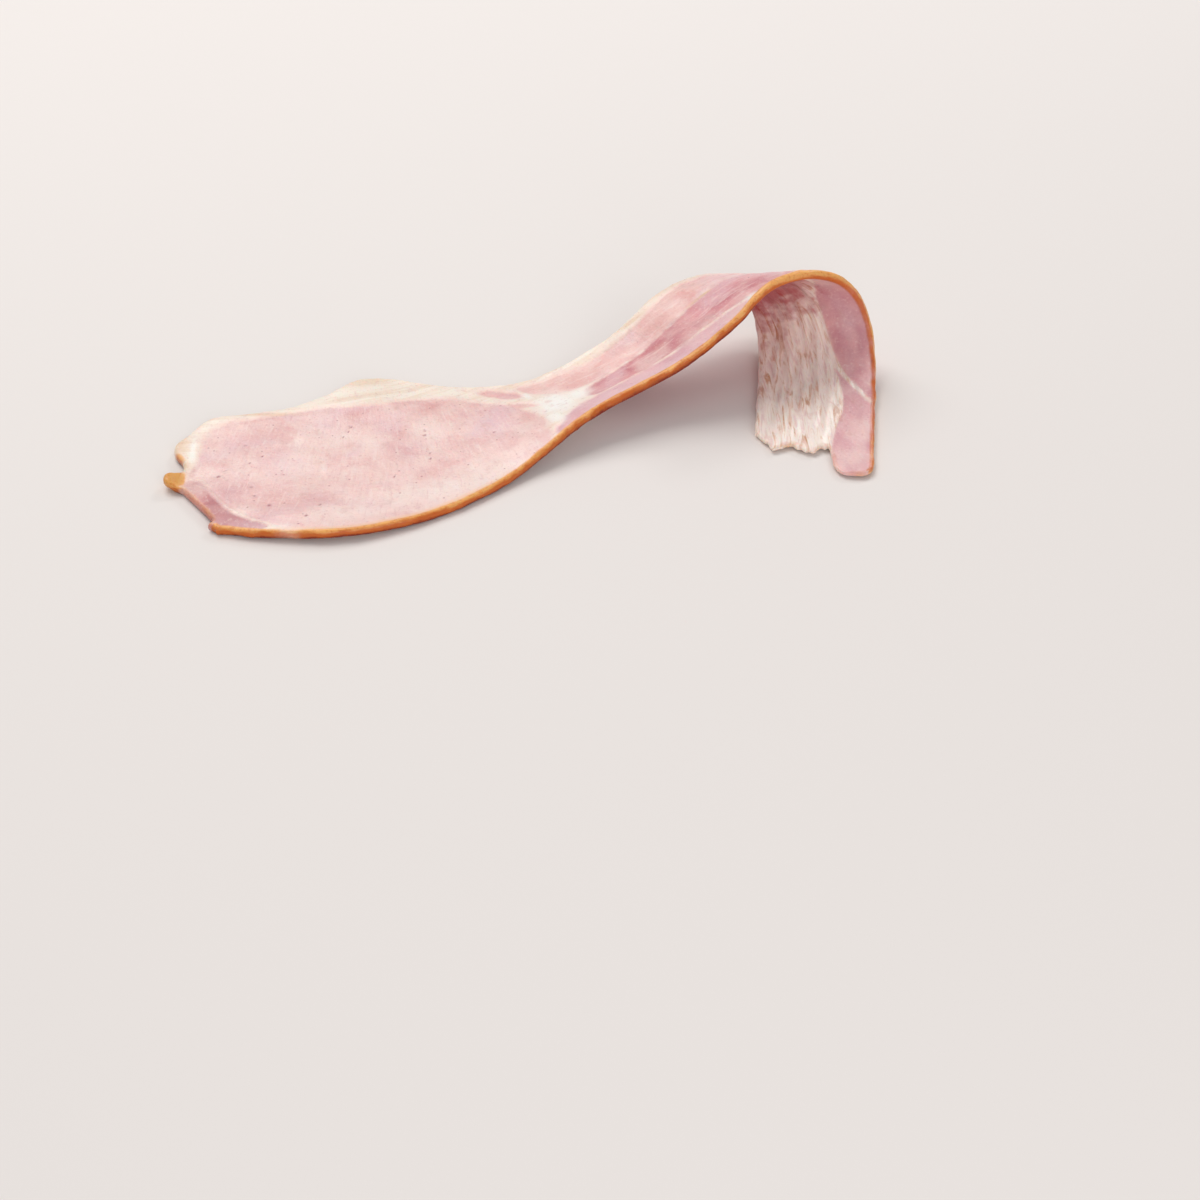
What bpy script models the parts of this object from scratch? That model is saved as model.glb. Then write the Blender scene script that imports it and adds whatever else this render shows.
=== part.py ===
"""A raw rasher of middle-cut bacon: one slice, its loin lying flat and its streaky end folded under.

The slice is first laid out flat, as it leaves the slicer. U runs along it from the tip of the loin to the end
of the tail, and V across it, from the smoked edge (negative) to the fat edge (positive). The flat slice is then
folded over a slanting crest line: the streaky strip climbs, rolls over and comes back as a tail that lies on the
table. Lengths are in millimetres up to the last step, where the mesh is scaled to metres.
"""
import math

import bmesh
import bpy
import numpy as np

MM = 0.001

# The slice
LENGTH = 350.0
THICKNESS = 3.2
RIM_ROUNDING = 0.9

# Width of the flat slice: distance along, smoked side, fat side
WIDTHS = (
    (16.0, 33.5, 32.0),
    (36.0, 37.6, 36.0),
    (56.0, 40.5, 42.5),
    (76.0, 37.2, 50.0),
    (96.0, 31.2, 46.5),
    (116.0, 25.4, 31.5),
    (136.0, 22.0, 20.5),
    (160.0, 22.5, 16.5),
    (182.0, 25.0, 15.0),
    (204.0, 25.5, 17.5),
    (220.0, 22.5, 18.0),
    (250.0, 25.5, 16.5),
    (LENGTH, 25.5, 15.0),
)

# How the slice bends in its own plane, from the loin into the streaky strip
LOIN_HEADING = 4.0
STRIP_HEADING = 35.0
BEND_FROM = 20.0
BEND_TO = 140.0

# Loin end: a slanted knife cut, a thin tongue of skin, and a rounded fat corner
END_SETBACK = 6.0
CUT_FROM = -25.0
CUT_TO = -9.5
CUT_SLANT = 10.0
TONGUE_FROM = -9.5
TONGUE_TO = -0.5
TONGUE_REACH = 6.0
FAT_BULGE_AT = 14.0
FAT_BULGE_WIDTH = 12.0
FAT_BULGE_REACH = 4.0
CORNER_RADIUS = 17.0
CORNER_DEPTH = 12.0

# Tail end: the smoked lean strip outlasts the marbled fat, whose end is ragged
STEP_AT = -11.5
STEP_WIDTH = 3.0
STEP_LENGTH = 14.0
RAGGEDNESS = 1.4
RAG_SPACING = 13.0
SMOKED_CORNER = 3.0
FAT_CORNER = 6.0

# The fold
FOLD_AT = 169.0
CREST_HEADING = -30.0
CLIMB_LENGTH = 80.0
CLIMB_ANGLE = 62.0
ROLL_LENGTH = 132.0
ROLL_BIAS = -0.1
FAT_SIDE_DROP = 0.4

# Slack in the slice: the smoked edge arches up beside the fold, and the loin's edges curl a little
EDGE_LIFT = 12.5
LIFT_AT = -9.0
LIFT_REACH = 78.0
CURL = 1.2
FLAT_HALF_WIDTH = 12.0
CURL_WIDTH = 28.0

# Mesh: how many cells along the loin, the fold and the tail, and across the slice
LOIN_ENDS_AT = 125.0
LOIN_CELLS = 36
FOLD_ENDS_AT = 275.0
FOLD_CELLS = 56
TAIL_CELLS = 24
CELLS_ACROSS = 15
END_REACH = 40.0
PROFILE_STEP = 0.25


def ease(x):
    """A smooth step from 0 at x = 0 to 1 at x = 1, with no corner at either end."""
    x = np.clip(x, 0.0, 1.0)
    return x**3 * (x * (6.0 * x - 15.0) + 10.0)


def bump(x):
    """A smooth hump, 1 at x = 0 and 0 from x = -1 down and from x = 1 up."""
    return ease(1.0 - np.abs(x))


def through(x, xs, ys):
    """A smooth curve through the points (xs, ys), level beyond the first and the last."""
    slopes = np.gradient(ys, xs)
    slopes[0] = 0.0
    slopes[-1] = 0.0
    x = np.clip(x, xs[0], xs[-1])
    i = np.clip(np.searchsorted(xs, x) - 1, 0, len(xs) - 2)
    h = xs[i + 1] - xs[i]
    t = (x - xs[i]) / h
    start = ys[i] * (1.0 + 2.0 * t) * (1.0 - t) ** 2 + slopes[i] * h * t * (1.0 - t) ** 2
    return start + ys[i + 1] * t**2 * (3.0 - 2.0 * t) + slopes[i + 1] * h * t**2 * (t - 1.0)


def half_widths(u):
    """The slice's reach on its smoked side and on its fat side, at distance u along it."""
    along, smoked, fat = np.array(WIDTHS).T
    return through(u, along, smoked), through(u, along, fat)


def loin_end(v):
    """How far along the slice its loin end starts, at v across."""
    cut = CUT_SLANT * np.clip((CUT_TO - v) / (CUT_TO - CUT_FROM), 0.0, 1.0)
    tongue = TONGUE_REACH * ease(v - TONGUE_FROM) * ease(TONGUE_TO - v)
    bulge = FAT_BULGE_REACH * bump((v - FAT_BULGE_AT) / FAT_BULGE_WIDTH)
    fat_reach = WIDTHS[0][2]
    into_corner = np.clip(1.0 + (v - fat_reach) / CORNER_RADIUS, 0.0, 1.0)
    corner = CORNER_DEPTH * (1.0 - np.sqrt(1.0 - into_corner**2))
    return END_SETBACK + cut - tongue - bulge + corner


def tail_end(v):
    """How far along the slice its tail ends, at v across."""
    past_step = ease((v - STEP_AT) / STEP_WIDTH + 0.5)
    rags = RAGGEDNESS * np.sin(2.0 * math.pi * v / RAG_SPACING)
    _, smoked_reach, fat_reach = WIDTHS[-1]
    corners = SMOKED_CORNER * bump((v + smoked_reach) / 5.0) + FAT_CORNER * bump((v - fat_reach) / 9.0)
    return LENGTH - past_step * (STEP_LENGTH + rags) - corners


def centre_line(u):
    """The flat slice's centre line: x, y and heading at distance u along it."""
    steps = np.arange(0.0, LENGTH + 1.0, PROFILE_STEP)
    turn = ease((steps - BEND_FROM) / (BEND_TO - BEND_FROM))
    headings = np.radians(LOIN_HEADING + (STRIP_HEADING - LOIN_HEADING) * turn)
    xs = np.concatenate(([0.0], np.cumsum(np.cos(headings[:-1]) * PROFILE_STEP)))
    ys = np.concatenate(([0.0], np.cumsum(np.sin(headings[:-1]) * PROFILE_STEP)))
    return np.interp(u, steps, xs), np.interp(u, steps, ys), np.interp(u, steps, headings)


def lay_flat(u, v):
    """Where the point (u, v) of the slice lies with the slice spread flat on the table."""
    x, y, heading = centre_line(u)
    return x - v * np.sin(heading), y + v * np.cos(heading)


def slope_along(s, climb_start):
    """The strip's slope angle at s, measured square to the crest line from where the roll begins."""
    climb = math.radians(CLIMB_ANGLE)
    turned = np.clip(s / ROLL_LENGTH, 0.0, 1.0)
    turned = turned + ROLL_BIAS * turned * (1.0 - turned)
    return climb * ease((s - climb_start) / CLIMB_LENGTH) - (climb + math.pi) * ease(turned)


def fold_profile(climb_start):
    """The folded strip seen along the crest line: s, and the distance and height that it reaches there."""
    s = np.arange(climb_start - 5.0, 1.5 * LENGTH, PROFILE_STEP)
    angle = slope_along(s, climb_start)
    middle = 0.5 * (angle[1:] + angle[:-1])
    out = s[0] + np.concatenate(([0.0], np.cumsum(np.cos(middle) * PROFILE_STEP)))
    up = np.concatenate(([0.0], np.cumsum(np.sin(middle) * PROFILE_STEP)))
    return s, out, up


def find_climb_start():
    """Where the climb has to begin for the tail to come back down to the table."""
    low, high = -2.0 * CLIMB_LENGTH, -0.2 * CLIMB_LENGTH
    for _ in range(40):
        start = 0.5 * (low + high)
        too_high = fold_profile(start)[2][-1] > 0.0
        low, high = (start, high) if too_high else (low, start)
    return start


def slack(u, v, s):
    """How far the slice stands off the table at (u, v) where the fold doesn't hold it up."""
    smoked, fat = half_widths(u)
    to_fat = np.clip((v + smoked) / (smoked + fat), 0.0, 1.0)
    lift = EDGE_LIFT * (1.0 - to_fat) ** 2 * bump((s - LIFT_AT) / LIFT_REACH)
    wave = np.sin(0.05 * u + 0.03 * v) ** 2 * ease((LOIN_ENDS_AT - u) / 60.0)
    return lift + CURL * wave * ease((np.abs(v) - FLAT_HALF_WIDTH) / CURL_WIDTH)


def fold(u, v):
    """Where the middle of the slice's thickness at (u, v) is, once the slice is folded."""
    s_steps, out_steps, up_steps = fold_profile(find_climb_start())
    crest = math.radians(CREST_HEADING)
    x0, y0, _ = centre_line(FOLD_AT)
    x, y = lay_flat(u, v)
    along_crest = (x - x0) * math.cos(crest) + (y - y0) * math.sin(crest)
    s = (y - y0) * math.cos(crest) - (x - x0) * math.sin(crest)
    out = np.where(s < s_steps[0], s, np.interp(s, s_steps, out_steps))
    smoked, fat = half_widths(u)
    to_fat = np.clip((v + smoked) / (smoked + fat), 0.0, 1.0)
    up = np.interp(s, s_steps, up_steps) * (1.0 - FAT_SIDE_DROP * to_fat)
    x = x0 + along_crest * math.cos(crest) - out * math.sin(crest)
    y = y0 + along_crest * math.sin(crest) + out * math.cos(crest)
    return x, y, 0.5 * THICKNESS + up + slack(u, v, s)


def stations():
    """Distances along the slice at which its mesh has a row, closer together where it is folded."""
    loin = np.linspace(0.0, LOIN_ENDS_AT, LOIN_CELLS + 1)
    folded = np.linspace(LOIN_ENDS_AT, FOLD_ENDS_AT, FOLD_CELLS + 1)
    tail = np.linspace(FOLD_ENDS_AT, LENGTH, TAIL_CELLS + 1)
    return np.concatenate((loin, folded[1:], tail[1:]))


def across(u):
    """The grid's points across the slice at distance u along it, from the smoked edge to the fat edge."""
    smoked, fat = half_widths(u)
    return -smoked + np.linspace(0.0, 1.0, CELLS_ACROSS + 1) * (smoked + fat)


def slice_points():
    """The folded position of every point of the slice's grid, one row for each station."""
    u = stations()[:, None]
    v = across(u)
    from_loin = loin_end(v) * ease(1.0 - u / END_REACH)
    from_tail = (LENGTH - tail_end(v)) * ease(1.0 - (LENGTH - u) / END_REACH)
    u = u + from_loin - from_tail
    return np.stack(fold(u, across(u)), axis=-1)


def build_slice():
    """The rasher's object: a grid whose points are moved to where the folded slice has them."""
    points = slice_points()
    rows, columns, _ = points.shape
    points = points.reshape(-1, 3)
    middle = 0.5 * (points.min(axis=0) + points.max(axis=0))
    grid = bmesh.new()
    bmesh.ops.create_grid(grid, x_segments=columns - 1, y_segments=rows - 1, size=1.0)
    for vert, (x, y, z) in zip(grid.verts, points):
        vert.co = ((x - middle[0]) * MM, (y - middle[1]) * MM, z * MM)
    bmesh.ops.reverse_faces(grid, faces=grid.faces)
    mesh = bpy.data.meshes.new("rasher")
    grid.to_mesh(mesh)
    grid.free()
    rasher = bpy.data.objects.new("rasher", mesh)
    bpy.context.scene.collection.objects.link(rasher)
    return rasher


def add_thickness(rasher):
    """Gives the slice its thickness, half to each side, and rounds its cut rims."""
    solidify = rasher.modifiers.new("thickness", "SOLIDIFY")
    solidify.thickness = THICKNESS * MM
    solidify.offset = 0.0
    rims = rasher.modifiers.new("soft rims", "BEVEL")
    rims.width = RIM_ROUNDING * MM
    rims.segments = 2
    rims.limit_method = "ANGLE"
    rims.angle_limit = math.radians(50.0)


def dress(rasher):
    """Raw cured pork: pale pink and moist."""
    meat = bpy.data.materials.new("raw cured pork")
    meat.use_nodes = True
    shader = meat.node_tree.nodes["Principled BSDF"]
    shader.inputs["Base Color"].default_value = (0.78, 0.43, 0.42, 1.0)
    shader.inputs["Roughness"].default_value = 0.38
    shader.inputs["Metallic"].default_value = 0.0
    rasher.data.materials.append(meat)
    rasher.data.shade_smooth()


def main():
    """Empties the scene and builds the rasher."""
    for old in list(bpy.data.objects):
        bpy.data.objects.remove(old)
    rasher = build_slice()
    add_thickness(rasher)
    dress(rasher)


main()
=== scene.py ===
"""The looks of a raw rasher of middle-cut bacon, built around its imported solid.

The rasher is made as it is cut: a flat slice, whose muscles, seams and rims are worked out in the slice's own
millimetres. U runs along it from the tip of the loin to the end of the tail, V across it from the smoked edge
(negative) to the fat edge (positive). The finished slice is then folded over its slanting crest line, as the
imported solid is, and lies in that solid's place.
"""
import logging
import math
from collections.abc import Mapping
from dataclasses import dataclass, field
from enum import Enum
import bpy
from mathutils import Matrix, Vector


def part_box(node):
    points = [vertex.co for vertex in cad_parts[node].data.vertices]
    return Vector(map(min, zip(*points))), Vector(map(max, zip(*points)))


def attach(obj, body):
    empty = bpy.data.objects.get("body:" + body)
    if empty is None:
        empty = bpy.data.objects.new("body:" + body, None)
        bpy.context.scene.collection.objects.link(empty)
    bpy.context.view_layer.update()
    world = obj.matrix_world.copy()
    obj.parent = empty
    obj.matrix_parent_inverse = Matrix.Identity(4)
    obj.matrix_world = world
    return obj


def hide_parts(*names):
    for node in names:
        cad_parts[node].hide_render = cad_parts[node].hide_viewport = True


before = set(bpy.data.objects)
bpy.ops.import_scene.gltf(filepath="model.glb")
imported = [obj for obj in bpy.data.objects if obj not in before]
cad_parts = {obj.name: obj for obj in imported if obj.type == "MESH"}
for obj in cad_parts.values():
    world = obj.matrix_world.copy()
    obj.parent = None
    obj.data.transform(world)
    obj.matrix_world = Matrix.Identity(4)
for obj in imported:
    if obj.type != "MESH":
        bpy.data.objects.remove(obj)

from types import MappingProxyType

import bpy
import numpy as np
from mathutils import Vector, kdtree, noise

LOG = logging.getLogger("rasher")
MM = 0.001
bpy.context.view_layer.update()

Points = tuple[tuple[float, float], ...]
Sockets = dict[str, bpy.types.NodeSocket]


def linear(colour: str) -> tuple[float, float, float, float]:
    """Turns an sRGB hex colour into the linear colour that a shader takes.

    Args:
        colour: Six hex digits after a hash.

    Returns:
        Red, green, blue and an alpha of 1.
    """
    values = [int(colour[i : i + 2], 16) / 255.0 for i in (1, 3, 5)]
    return (*(x / 12.92 if x <= 0.04045 else ((x + 0.055) / 1.055) ** 2.4 for x in values), 1.0)


def ease(x: np.ndarray) -> np.ndarray:
    """A smooth step from 0 at x = 0 to 1 at x = 1, with no corner at either end."""
    x = np.clip(x, 0.0, 1.0)
    return x**3 * (x * (6.0 * x - 15.0) + 10.0)


def bump(x: np.ndarray) -> np.ndarray:
    """A smooth hump, 1 at x = 0 and 0 from x = -1 down and from x = 1 up."""
    return ease(1.0 - np.abs(x))


def through(x: np.ndarray, xs: np.ndarray, ys: np.ndarray) -> np.ndarray:
    """A smooth curve through given points, level beyond the first and the last.

    Args:
        x: Where the curve is read.
        xs: The points' places, rising.
        ys: The points' heights.

    Returns:
        The curve's height at each x.
    """
    slopes = np.gradient(ys, xs)
    slopes[0] = 0.0
    slopes[-1] = 0.0
    x = np.clip(x, xs[0], xs[-1])
    i = np.clip(np.searchsorted(xs, x) - 1, 0, len(xs) - 2)
    h = xs[i + 1] - xs[i]
    t = (x - xs[i]) / h
    start = ys[i] * (1.0 + 2.0 * t) * (1.0 - t) ** 2 + slopes[i] * h * t * (1.0 - t) ** 2
    return start + ys[i + 1] * t**2 * (3.0 - 2.0 * t) + slopes[i + 1] * h * t**2 * (t - 1.0)


@dataclass(frozen=True)
class Fade:
    """A smooth step from 0 to 1: where it starts and its length, mm, negative for a step that falls."""

    start: float
    length: float

    def at(self, x: np.ndarray) -> np.ndarray:
        """The step's height at each x."""
        return ease((x - self.start) / self.length)


@dataclass(frozen=True)
class Hump:
    """A smooth hump: its middle, the reach to each side at which it ends, mm, and its height."""

    middle: float
    reach: float
    height: float

    def at(self, x: np.ndarray) -> np.ndarray:
        """The hump's height at each x."""
        return self.height * bump((x - self.middle) / self.reach)


@dataclass(frozen=True)
class Waves:
    """Smooth random relief, the same on each run: its height and the length and width of its humps, mm."""

    height: float
    along: float
    across: float
    seed: float

    def at(self, u: np.ndarray, v: np.ndarray) -> np.ndarray:
        """The relief at given points.

        Args:
            u: Distances along the slice, mm.
            v: Distances across it, mm.

        Returns:
            The relief at each point, about as high and as deep as its height, mm.
        """
        relief = []
        for x, y in zip((u / self.along).tolist(), (v / self.across).tolist()):
            finer = noise.noise((2.1 * x, 2.1 * y, self.seed + 5.0))
            relief.append(noise.noise((x, y, self.seed)) + 0.5 * finer)
        return self.height * np.array(relief)


class Side(Enum):
    """The two cut faces of the slice."""

    UPPER = 1.0
    LOWER = -1.0


class Tint(Enum):
    """The tints that lie over the cut face in soft patches."""

    PALE = "pale patch"
    LILAC = "lilac patch"
    MAUVE = "mauve patch"
    RED = "red patch"
    TAN = "tan patch"
    WHITE = "white patch"


@dataclass(frozen=True)
class Muscle:
    """One lean muscle of the slice: where the knife met it, and the pinks of its cut face."""

    name: str
    outline: Points
    pale: str
    deep: str
    border: float = 1.1
    wander: float = 1.8
    spans: int = 8

    def curve(self) -> np.ndarray:
        """Rounds the muscle's outline.

        Returns:
            A smooth closed curve through the outline's points, one u, v row each, mm.
        """
        points = np.array(self.outline)
        before, after, later = (np.roll(points, k, axis=0)[:, None] for k in (1, -1, -2))
        here = points[:, None]
        t = np.linspace(0.0, 1.0, self.spans, endpoint=False)[None, :, None]
        bend = (2.0 * before - 5.0 * here + 4.0 * after - later) * t**2
        twist = (3.0 * here - before - 3.0 * after + later) * t**3
        return (0.5 * (2.0 * here + (after - before) * t + bend + twist)).reshape(-1, 2)

    def inside(self, u: np.ndarray, v: np.ndarray) -> np.ndarray:
        """How far inside the muscle each point is.

        Args:
            u: Distances along the slice, mm.
            v: Distances across it, mm.

        Returns:
            Millimetres to the muscle's border, negative outside it.
        """
        curve = self.curve()
        nearest = np.full(u.shape, 1e9)
        crossings = np.zeros(u.shape, bool)
        for (u0, v0), (u1, v1) in zip(curve, np.roll(curve, -1, axis=0)):
            du, dv = u1 - u0, v1 - v0
            share = np.clip(((u - u0) * du + (v - v0) * dv) / (du * du + dv * dv), 0.0, 1.0)
            nearest = np.minimum(nearest, (u - u0 - share * du) ** 2 + (v - v0 - share * dv) ** 2)
            if dv != 0.0:
                crossings ^= ((v0 > v) != (v1 > v)) & (u < u0 + (v - v0) * du / dv)
        return np.where(crossings, 1.0, -1.0) * np.sqrt(nearest)


MUSCLES = (
    Muscle(
        "eye",
        (
            (9.5, -3.0), (11.0, 6.0), (12.5, 19.0), (17.0, 25.5), (34.0, 30.5), (50.0, 33.5), (70.0, 31.5),
            (90.0, 30.6), (104.0, 27.0), (114.0, 20.0), (121.0, 12.0), (126.5, 3.0), (128.0, -5.0),
            (126.5, -13.0), (122.0, -24.0), (110.0, -33.0), (80.0, -40.0), (62.0, -42.0), (52.0, -37.9),
            (42.0, -37.2), (37.5, -34.0), (30.0, -28.3), (23.0, -22.0), (16.5, -12.5), (13.0, -5.5),
        ),
        "#F2D0CA", "#E5B4B1",
    ),
    Muscle(
        "corner",
        (
            (7.0, -8.5), (11.5, -6.3), (15.3, -13.0), (21.7, -23.0), (29.0, -29.5), (35.5, -34.3),
            (26.0, -37.0), (14.0, -34.0), (6.0, -14.0),
        ),
        "#D09292", "#B46A6E",
    ),
    Muscle(
        "sliver",
        (
            (120.5, 22.7), (124.5, 21.8), (129.0, 17.4), (132.2, 12.0), (130.5, 9.8), (126.6, 12.8),
            (122.8, 18.2),
        ),
        "#EDBDB5", "#DFA09B",
    ),
    Muscle(
        "streak",
        ((124.5, 8.2), (129.0, 5.6), (133.0, 1.6), (130.5, 1.0), (126.0, 4.6)),
        "#EFC3BA", "#E2A6A0",
    ),
    Muscle(
        "upper belly",
        (
            (134.6, 16.4), (141.0, 15.3), (150.0, 13.8), (162.0, 11.6), (182.0, 10.9), (194.0, 12.8),
            (206.0, 14.6), (222.0, 14.8), (240.0, 13.0), (256.0, 6.0), (246.0, 1.2), (214.0, 0.7),
            (194.0, -0.5), (174.0, -0.7), (151.0, 0.6), (143.5, 3.2), (138.0, 7.2), (134.8, 12.0),
        ),
        "#F5CEC7", "#E8B2AD",
    ),
    Muscle(
        "lower belly",
        (
            (147.0, -7.0), (151.0, -2.6), (162.0, -1.5), (178.0, -1.1), (196.0, -0.9), (216.0, 0.3),
            (240.0, 0.0), (258.0, -6.0), (250.0, -13.0), (232.0, -21.0), (221.0, -24.5), (214.5, -20.5),
            (206.0, -17.2), (192.0, -15.0), (174.0, -12.7), (158.0, -10.9), (150.0, -10.2),
        ),
        "#E19DA1", "#C8757F",
    ),
    Muscle(
        "near strip",
        (
            (126.0, -20.5), (131.0, -17.0), (138.0, -13.6), (149.0, -11.6), (160.0, -11.8), (173.0, -13.4),
            (190.0, -15.8), (203.0, -18.2), (210.5, -20.8), (214.0, -26.0), (190.0, -30.0), (150.0, -28.0),
            (130.0, -26.0),
        ),
        "#EABCC0", "#DBA2AC",
    ),
    Muscle(
        "tail lens",
        (
            (306.0, -25.8), (299.0, -20.6), (291.0, -15.6), (280.0, -12.0), (266.0, -10.6), (254.0, -12.0),
            (244.0, -18.5), (234.0, -24.0), (240.0, -30.0), (290.0, -30.0),
        ),
        "#E6B3B4", "#D2929C",
    ),
    Muscle(
        "tail strip",
        (
            (356.0, -30.0), (353.0, -12.4), (338.0, -11.2), (325.0, -12.4), (313.0, -14.8), (301.0, -14.6),
            (289.0, -12.4), (294.5, -16.0), (302.0, -20.8), (309.5, -26.0), (316.0, -30.0),
        ),
        "#E8B8BA", "#D59DA6",
    ),
)


@dataclass(frozen=True)
class Patch:
    """One soft patch of another tint: its middle and its reach, mm, and its strength."""

    u: float
    v: float
    along: float
    across: float
    strength: float

    def share(self, u: np.ndarray, v: np.ndarray) -> np.ndarray:
        """How strong the patch is at each point."""
        distance = ((u - self.u) / self.along) ** 2 + ((v - self.v) / self.across) ** 2
        return self.strength * np.exp(-distance)


# Each tint's patches, in the order of a patch's values
PATCHES = {
    Tint.PALE: (
        (88.0, -25.0, 34.0, 9.0, 0.75), (60.0, -30.0, 16.0, 8.0, 0.6), (70.0, 10.0, 7.0, 6.0, 0.5),
        (62.0, 16.0, 6.0, 6.0, 0.55), (92.0, 4.0, 6.0, 8.0, 0.5), (28.0, -24.0, 5.0, 4.0, 0.5),
        (52.5, -3.0, 1.2, 5.0, 0.7), (44.5, 12.0, 2.4, 9.0, 0.5), (103.0, -8.0, 1.2, 4.0, 0.5),
    ),
    Tint.LILAC: (
        (40.0, 2.0, 9.0, 11.0, 0.6), (54.0, 22.0, 8.0, 9.0, 0.5), (113.0, 0.0, 9.0, 12.0, 0.5),
        (170.0, -22.0, 40.0, 4.0, 0.45),
    ),
    Tint.MAUVE: (
        (82.0, 2.0, 9.0, 10.0, 0.45), (50.0, -18.0, 8.0, 8.0, 0.4), (22.0, -12.0, 8.0, 11.0, 0.55),
        (24.0, 14.0, 8.0, 10.0, 0.35), (194.0, -0.5, 3.5, 1.2, 0.6),
    ),
    Tint.RED: (
        (70.0, 29.0, 7.0, 3.5, 0.55), (102.0, 21.0, 12.0, 5.0, 0.6), (125.0, -6.0, 4.0, 7.0, 0.4),
        (12.0, -22.0, 4.0, 9.0, 0.6), (181.5, -6.0, 3.5, 4.5, 0.6), (204.0, 7.0, 18.0, 6.0, 0.42),
    ),
    Tint.TAN: (
        (209.0, 0.2, 6.0, 1.0, 0.8), (187.0, 15.0, 9.0, 1.3, 0.6), (34.0, 31.6, 22.0, 1.0, 0.6),
        (80.0, 47.0, 22.0, 4.0, 0.5), (4.0, 17.0, 3.2, 14.0, 0.55), (5.0, 3.0, 3.5, 4.0, 0.7),
    ),
    Tint.WHITE: (
        (214.0, -21.0, 3.0, 2.4, 0.8), (137.5, -3.0, 8.0, 9.0, 1.0), (131.0, -12.5, 3.0, 6.0, 0.8),
        (133.0, 9.0, 2.0, 4.0, 0.6), (146.0, -4.0, 6.0, 5.0, 0.85), (8.5, 12.0, 1.2, 9.0, 0.7),
        (38.5, -35.5, 5.0, 2.2, 0.6),
    ),
}

# Small bubbles and vessels cut across in the loin: along, across, radius, mm
PORES = (
    (64.5, 21.0, 0.8), (63.0, 18.4, 0.6), (61.0, 15.2, 0.6), (91.2, 10.2, 0.7), (90.2, 7.6, 0.8),
    (92.6, 6.3, 0.5), (87.0, -6.3, 0.6), (88.0, -2.8, 0.5), (35.5, -22.2, 0.8), (29.2, -10.5, 0.6),
    (18.0, -3.8, 0.8), (20.0, -0.6, 0.5), (28.0, 3.0, 0.6), (26.0, 14.0, 0.6), (32.0, 6.8, 0.5),
    (111.6, -3.6, 0.6), (46.8, -30.4, 0.7), (30.4, -15.8, 0.5), (92.0, 22.6, 0.5), (50.6, -24.0, 0.5),
    (116.0, 10.5, 0.5), (74.0, -12.0, 0.5),
)


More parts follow.
